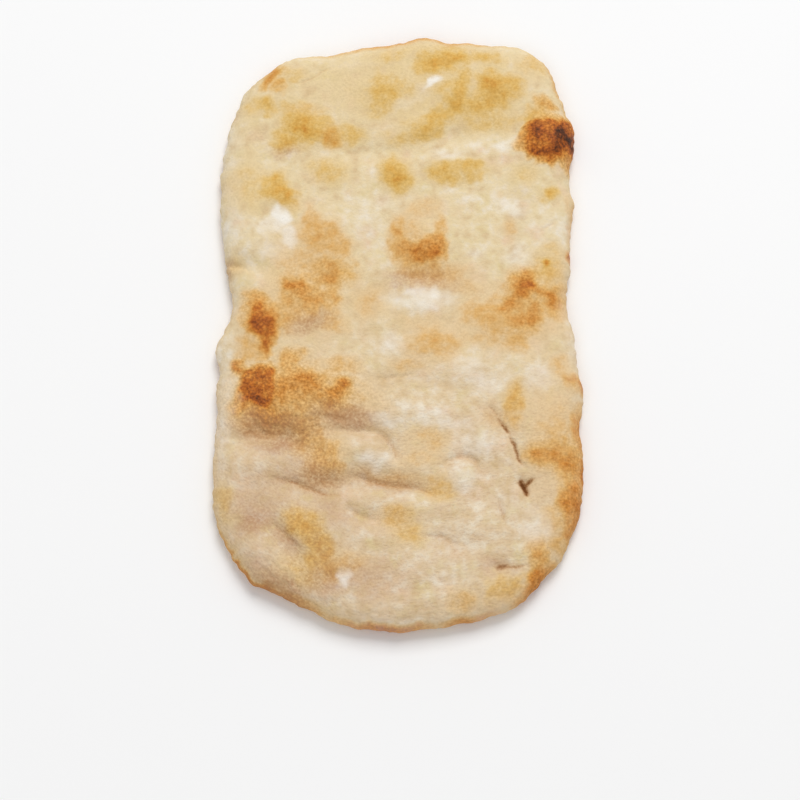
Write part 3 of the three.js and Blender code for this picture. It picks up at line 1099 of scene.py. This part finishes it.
    def dough(self, sheet: Sheet, speckle: Shade, mottle: Shade) -> Shade:
        """Gives the colour of dough that hasn't browned, cloudy between its tints.

        Args:
            sheet: The material's sheet.
            speckle: Fine noise.
            mottle: Middling noise.

        Returns:
            The colour.
        """
        cloud = sheet.noise(self.cloud_reach)
        far = (sheet.axis("Y") + cloud * self.far_cloud).eased(*self.far_span)
        colour = sheet.mix(self.near_cream, self.far_cream, far)
        tint = sheet.noise(self.tint_reach, self.tint_detail, self.tint_shift)
        colour = sheet.mix(colour, self.blush, tint.eased(0.0, self.tint_range))
        colour = sheet.mix(colour, self.straw, tint.eased(0.0, -self.tint_range))
        light = cloud + mottle * self.light_mottle + speckle * self.light_speckle
        colour = sheet.mix(colour, self.pale, light.eased(*self.pale_span))
        return sheet.mix(colour, self.dry, light.eased(*self.dry_span))

    def toasted(self, sheet: Sheet, dough: Shade, speckle: Shade, mottle: Shade) -> Shade:
        """Browns the dough.

        Args:
            sheet: The material's sheet.
            dough: Colour of the dough that hasn't browned.
            speckle: Fine noise.
            mottle: Middling noise.

        Returns:
            The colour.
        """
        browning = sheet.attribute(Mark.BROWNING)
        grain = sheet.attribute(Mark.GRAIN)
        flecks = speckle * (grain * self.grainy_speckle + self.uneven_speckle)
        unevenness = flecks + mottle * self.uneven_mottle
        heat = browning + browning.eased(*self.uneven_span) * unevenness
        golden = sheet.ramp(self.golden, heat)
        orange = sheet.ramp(self.orange, heat)
        toast = sheet.mix(golden, orange, sheet.attribute(Mark.WARMTH))
        colour = sheet.mix(dough, toast, heat.eased(*self.toast_span))
        grit = 1.0 - speckle * (self.grit + browning * grain * self.scorched_grit)
        return sheet.mix(colour, grit, 1.0, "MULTIPLY")

    def strands(self, sheet: Sheet) -> Shade:
        """Gives the fine strands that the near half's skin was drawn into, one way on either side.

        Args:
            sheet: The material's sheet.

        Returns:
            Values around 0, which are 0 in the far half.
        """
        near = sheet.axis("Y").eased(*self.near_span)
        left = sheet.axis("X").eased(*self.left_span)
        leftward, rightward = (
            sheet.noise(self.strand_reach, shift=shift, stretch=self.strand_stretch, turn=turn)
            for shift, turn in zip(self.strand_shifts, self.strand_turns)
        )
        return (leftward * left + rightward * (1.0 - left)) * near

    def dryness(self, sheet: Sheet, dust_and_light: Shade, speckle: Shade) -> Shade:
        """Gives the roughness: browned skin shines a little, and flour doesn't.

        Args:
            sheet: The material's sheet.
            dust_and_light: How floury the skin is, with the spots of painted light.
            speckle: Fine noise.

        Returns:
            The roughness.
        """
        gloss = sheet.attribute(Mark.BROWNING).eased(*self.glossy_span) * self.baked_gloss
        floury = dust_and_light.eased(*self.floury_span) * self.flour_roughness
        return floury - gloss + speckle * self.speckle_roughness + self.roughness

    def crumb(self, sheet: Sheet, grains: Shade) -> Shade:
        """Gives the normal of the finest, floury roughness.

        Args:
            sheet: The material's sheet.
            grains: Its finest relief.

        Returns:
            The normal.
        """
        relief = grains * self.grain_relief + sheet.noise(self.crumb_reach)
        bump = {"Strength": self.relief_strength, "Distance": self.relief_depth * MM, "Height": relief}
        return sheet.node("ShaderNodeBump", {}, bump, "Normal")


@dataclass(frozen=True)
class FloorFinish:
    """The studio's plain pale floor."""

    colour: Colour = (0.95, 0.95, 0.95, 1.0)
    worn: Colour = (0.93, 0.93, 0.93, 1.0)
    cloud_reach: float = 400.0
    roughness: float = 0.9

    def material(self) -> bpy.types.Material:
        """Makes the material.

        Returns:
            The floor's material.
        """
        sheet = Sheet("pale_floor")
        cloud = sheet.noise(self.cloud_reach).eased(-sheet.NOISE_MIDDLE, sheet.NOISE_MIDDLE)
        shade = sheet.mix(self.colour, self.worn, cloud)
        sheet.feed(sheet.shader.inputs["Base Color"], shade)
        sheet.feed(sheet.shader.inputs["Roughness"], self.roughness)
        return sheet.material


@dataclass
class PinsaBase:
    """The bread: relief and marks over a rounded copy of its solid.

    Slopes are upward parts of the skin's normal, at which something starts and is complete. Reaches
    are the sizes of broad and finer lumps.
    """

    # solid: its node, the gap over which its vertices are joined, and how often it is rounded
    node: str = "pinsa_base"
    weld: float = 0.01
    smoothing_levels: int = 2
    # marks: how far they stray from their listed outlines, and the folds' share of that
    wander: float = 2.8
    wander_reaches: Pair = (9.0, 3.0)
    fold_wander: float = 0.3
    # top: where it is, how far from fine folds it has more faces, and its relief
    top_slopes: Span = (0.1, 0.7)
    fine_margin: float = 1.0
    toast_lift: float = 0.5
    lump_height: float = 0.2
    lump_reaches: Pair = (7.0, 3.0)
    # rim: the slope under which skin belongs to it, and the heights between which it is ragged
    rim_slope: float = 0.4
    rim_heights: Span = (12.0, 6.0)
    rim_foot: float = 1.5
    rim_roughness: float = 0.9
    rim_reaches: Pair = (7.0, 2.4)
    # underside: where marks of the top fade out, and its own browning
    marked_slopes: Span = (-0.3, 0.0)
    scorched_slopes: Span = (-0.8, -0.2)
    underside_slopes: Span = (0.15, -0.5)
    underside_browning: float = 0.4
    underside_blotches: float = 0.14
    blotch_reach: float = 34.0
    # browning over which the rim turns orange, and the least weight of a mark in the colour
    edge_warmth: Span = (0.0, 0.4)
    least_weight: float = 1e-4
    seed: int = 7
    finish: CrustFinish = field(default_factory=CrustFinish)

    def build(self) -> bpy.types.Object:
        """Builds and dresses the bread.

        Returns:
            The finished piece.
        """
        piece = self.rounded_copy()
        self.refine(piece)
        self.lift_toasted(piece)
        self.press_folds(piece)
        self.roughen_top(piece)
        self.roughen_rim(piece)
        self.paint(piece)
        piece.data.materials.clear()
        piece.data.materials.append(self.finish.material())
        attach(piece, "root")
        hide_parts(self.node)
        return piece

    def rounded_copy(self) -> bpy.types.Object:
        """Copies the solid, joins its triangles into quads and rounds them off.

        Returns:
            The new piece.
        """
        piece = bpy.data.objects.new("pinsa_crust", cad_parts[self.node].data.copy())
        bpy.context.scene.collection.objects.link(piece)
        with edit_mode(piece):
            bpy.ops.mesh.remove_doubles(threshold=self.weld * MM)
            bpy.ops.mesh.tris_convert_to_quads(
                face_threshold=math.pi, shape_threshold=math.pi, topology_influence=1.0
            )
            bpy.ops.mesh.faces_shade_smooth()
        levels = self.smoothing_levels
        apply_modifier(piece, "SUBSURF", levels=levels, render_levels=levels)
        return piece

    def refine(self, piece: bpy.types.Object) -> None:
        """Gives the skin more faces along the finest folds.

        Args:
            piece: The bread.
        """
        middles = read_vectors(piece.data.polygons, "center")[:, :2] / MM
        upward = read_vectors(piece.data.polygons, "normal")[:, 2] > 0
        near = np.zeros(len(middles), bool)
        for fold in FOLDS:
            if fold.fine:
                gaps = np.linalg.norm(middles[:, None, :] - fold.path()[None, :, :], axis=2)
                near |= gaps.min(axis=1) < fold.half_width + self.fine_margin
        with edit_mode(piece, near & upward):
            bpy.ops.mesh.subdivide(number_cuts=1)

    def plan(self, piece: bpy.types.Object, wandering: float = 0.0) -> np.ndarray:
        """Gives where the piece's vertices lie in the plan.

        Args:
            piece: The bread.
            wandering: How ragged marks get that are laid by these places, from 0 to 1.

        Returns:
            Places in millimetres, one a row.
        """
        plan = read_vectors(piece.data.vertices, "co")[:, :2] / MM
        if not wandering:
            return plan
        draws = [(Draw.WANDER + axis, Draw.FINE_WANDER + axis) for axis in range(2)]
        bends = [self.unevenness(plan, pair, self.wander_reaches) for pair in draws]
        return plan + wandering * (self.wander * np.stack(bends, axis=1))

    def unevenness(self, plan: np.ndarray, draws: tuple[int, int], reaches: Pair) -> np.ndarray:
        """Gives broad lumps with finer ones of half their height on them.

        Args:
            plan: Points of the plan, one a row.
            draws: What the broad and the finer lumps' draws add to the seed.
            reaches: Sizes of the broad and the finer lumps.

        Returns:
            Heights between -1.5 and 1.5.
        """
        broad, fine = (
            DoughNoise(self.seed + draw).at(plan, reach) for draw, reach in zip(draws, reaches)
        )
        return broad + fine / 2

    def upper(self, piece: bpy.types.Object) -> np.ndarray:
        """Gives how far each vertex belongs to the top, from 0 to 1."""
        return smooth_step(read_vectors(piece.data.vertices, "normal")[:, 2], *self.top_slopes)

    def inset(self, piece: bpy.types.Object) -> np.ndarray:
        """Gives how far in from the rim each vertex lies in the plan.

        Args:
            piece: The bread.

        Returns:
            Distances in millimetres.
        """
        plan = self.plan(piece)
        level = np.abs(read_vectors(piece.data.vertices, "normal")[:, 2])
        rim = plan[level < self.rim_slope]
        tree = KDTree(len(rim))
        for index, (x, y) in enumerate(rim):
            tree.insert((x, y, 0.0), index)
        tree.balance()
        return np.array([tree.find((x, y, 0.0))[2] for x, y in plan])

    def displace(
        self, piece: bpy.types.Object, name: str, heights: np.ndarray, direction: str = "NORMAL"
    ) -> None:
        """Moves the skin out, or in where the height is negative.

        Args:
            piece: The bread.
            name: Name of the vertex group that carries the heights.
            heights: Height of each vertex in millimetres.
            direction: The way to move it: along the normal, or along an axis.
        """
        for most in (heights.max(), heights.min()):
            moved = np.flatnonzero(heights * most > 0)
            if not len(moved):
                continue
            group = piece.vertex_groups.new(name=name)
            for index in moved:
                group.add([int(index)], heights[index] / most, "REPLACE")
            settings = {"vertex_group": name, "strength": most * MM, "mid_level": 0.0}
            apply_modifier(piece, "DISPLACE", direction=direction, **settings)
            piece.vertex_groups.remove(piece.vertex_groups[name])

    def lift_toasted(self, piece: bpy.types.Object) -> None:
        """Lifts the scorched spots a little, because what stands up browns first.

        Args:
            piece: The bread.
        """
        lifts = laid_over(SCORCHES, self.plan(piece, 1.0))
        self.displace(piece, "toasted", self.toast_lift * lifts * self.upper(piece))

    def press_folds(self, piece: bpy.types.Object) -> None:
        """Presses the folds, the crack and the burst bubbles into the top.

        Args:
            piece: The bread.
        """
        plan = self.plan(piece, self.fold_wander)
        depths = np.max([fold.dip(plan) for fold in FOLDS], axis=0)
        self.displace(piece, "folds", -depths * self.upper(piece), "Z")

    def roughen_top(self, piece: bpy.types.Object) -> None:
        """Gives the top its lumps and its patches of wrinkles.

        Args:
            piece: The bread.
        """
        plan = self.plan(piece)
        upper = self.upper(piece)
        lumps = self.unevenness(plan, (Draw.LUMPS, Draw.FINE_LUMPS), self.lump_reaches)
        self.displace(piece, "lumps", self.lump_height * lumps * upper)
        bent = self.plan(piece, 1.0)
        depths = np.zeros(len(plan))
        for index, wrinkling in enumerate(WRINKLES):
            noise = DoughNoise(self.seed + Draw.WRINKLES + index)
            lines = noise.at(bent, wrinkling.spacing, wrinkling.length, wrinkling.patch.turn)
            depths += wrinkling.depth * wrinkling.patch.share(plan) * lines
        self.displace(piece, "wrinkles", depths * upper)

    def roughen_rim(self, piece: bpy.types.Object) -> None:
        """Gives the rim its ragged edge.

        Args:
            piece: The bread.
        """
        plan = self.plan(piece)
        heights = read_vectors(piece.data.vertices, "co")[:, 2] / MM
        rim = smooth_step(heights, *self.rim_heights)
        rim = rim * smooth_step(heights, 0.0, self.rim_foot)
        ragged = self.unevenness(plan, (Draw.RIM, Draw.FINE_RIM), self.rim_reaches)
        self.displace(piece, "rim", self.rim_roughness * rim * ragged)

    def paint(self, piece: bpy.types.Object) -> None:
        """Lays the marks over the surface as attributes.

        Args:
            piece: The bread.
        """
        plan = self.plan(piece, 1.0)
        rise = read_vectors(piece.data.vertices, "normal")[:, 2]
        top = smooth_step(rise, *self.marked_slopes)
        under = smooth_step(rise, *self.underside_slopes)
        blotches = DoughNoise(self.seed + Draw.BLOTCHES).at(self.plan(piece), self.blotch_reach)
        scorched = laid_over(SCORCHES, plan) * smooth_step(rise, *self.scorched_slopes)
        baked_under = (self.underside_browning + self.underside_blotches * blotches) * under
        inset = self.inset(piece)
        edge = np.max([toast.share(plan, inset) for toast in EDGE_TOASTS], axis=0)
        weights = np.array([spot.strength * spot.share(plan) + self.least_weight for spot in SCORCHES])
        weights /= weights.sum(axis=0)
        grains = np.array([spot.grain for spot in SCORCHES])
        warms = np.array([spot.warm for spot in SCORCHES])
        lines = self.plan(piece, self.fold_wander)
        marks = {
            Mark.BROWNING: np.max([scorched, edge, baked_under], axis=0),
            Mark.GRAIN: grains @ weights,
            Mark.WARMTH: np.maximum(warms @ weights, smooth_step(edge, *self.edge_warmth)),
            # dried skin, and painted shade on slopes, in creases and under the left lobe
            Mark.DULLING: laid_over(DULLED_AND_SHADED, plan) * top,
            # flour, and painted light on shaded flanks of the rim and on lit ridges
            Mark.FLOUR: laid_over(FLOURED_AND_LIT, plan) * top,
            # baked stain and painted shade along the folds, the crack and the pits
            Mark.STAIN: np.max([fold.tint(lines) for fold in FOLDS], axis=0) * top,
        }
        for mark, values in marks.items():
            layer = piece.data.attributes.new(mark.value, "FLOAT", "POINT")
            layer.data.foreach_set("value", values.astype(np.float32))


@dataclass(frozen=True)
class Lamp:
    """A large soft lamp that faces the bread.

    Attributes:
        name: The lamp's name.
        power: Its power in watts.
        place: Where it hangs, in metres.
        size: Length of its sides in metres.
    """

    name: str
    power: float
    place: tuple[float, float, float]
    size: float = 2.0

    def hang(self) -> None:
        """Hangs the lamp."""
        bpy.ops.object.light_add(type="AREA", location=self.place)
        lamp = bpy.context.active_object
        lamp.name = self.name
        lamp.data.energy = self.power
        lamp.data.size = self.size
        x, y, z = self.place
        lamp.rotation_euler = (-math.atan2(y, z), math.atan2(x, math.hypot(y, z)), 0)


@dataclass
class Studio:
    """The floor, the soft light and the camera.

    Attributes:
        floor_size: Length of the floor's sides in metres.
        lens: Focal length in millimetres.
        sensor: Width of the camera's sensor in millimetres.
        near_clip: Distance in metres from which the camera sees.
        aim: The point that the camera looks at, in metres.
        elevation: How steeply the camera looks down, in degrees.
        distance: How far the camera is from that point, in metres.
        sky: Strength of the even light from all round.
        sky_colour: Colour of that light.
        lamps: The lamps.
    """

    floor_size: float = 40.0
    lens: float = 85.0
    sensor: float = 36.0
    near_clip: float = 0.01
    aim: tuple[float, float, float] = (0.00035, -0.0399, 0.0)
    elevation: float = 73.0
    distance: float = 0.944
    sky: float = 0.51
    sky_colour: Colour = (1.0, 1.0, 1.0, 1.0)
    lamps: tuple[Lamp, ...] = (
        Lamp("key_lamp", 90.0, (0.6, 2.4, 3.1)),
        Lamp("fill_lamp", 14.0, (-1.0, -2.2, 2.6)),
    )

    def build(self) -> None:
        """Sets up the whole studio."""
        self.lay_floor()
        self.light()
        self.place_camera()
        bpy.context.scene.view_settings.view_transform = "Standard"

    def lay_floor(self) -> None:
        """Lays the floor under the bread."""
        bpy.ops.object.select_all(action="DESELECT")
        bpy.ops.mesh.primitive_plane_add(size=self.floor_size)
        floor = bpy.context.active_object
        floor.name = "floor"
        floor.data.materials.append(FloorFinish().material())

    def light(self) -> None:
        """Hangs the lamps and lights the room evenly."""
        world = bpy.data.worlds.new("room")
        world.use_nodes = True
        background = world.node_tree.nodes["Background"]
        background.inputs["Color"].default_value = self.sky_colour
        background.inputs["Strength"].default_value = self.sky
        bpy.context.scene.world = world
        for lamp in self.lamps:
            lamp.hang()

    def place_camera(self) -> None:
        """Places the camera steeply above the near end."""
        tilt = math.radians(self.elevation)
        x, y, z = self.aim
        back = (x, y - self.distance * math.cos(tilt), z + self.distance * math.sin(tilt))
        bpy.ops.object.camera_add(location=back, rotation=(math.pi / 2 - tilt, 0, 0))
        camera = bpy.context.active_object
        camera.data.lens = self.lens
        camera.data.sensor_width = self.sensor
        camera.data.clip_start = self.near_clip
        bpy.context.scene.camera = camera


def main() -> None:
    """Builds the bread and the studio."""
    logging.basicConfig(level=logging.INFO, format="%(name)s: %(message)s")
    bread = PinsaBase().build()
    triangles = sum(len(face.vertices) - 2 for face in bread.data.polygons)
    log.info("%s: %d triangles", bread.name, triangles)
    Studio().build()
    log.info("studio: floor, lamps and camera")


if __name__ == "__main__":
    main()
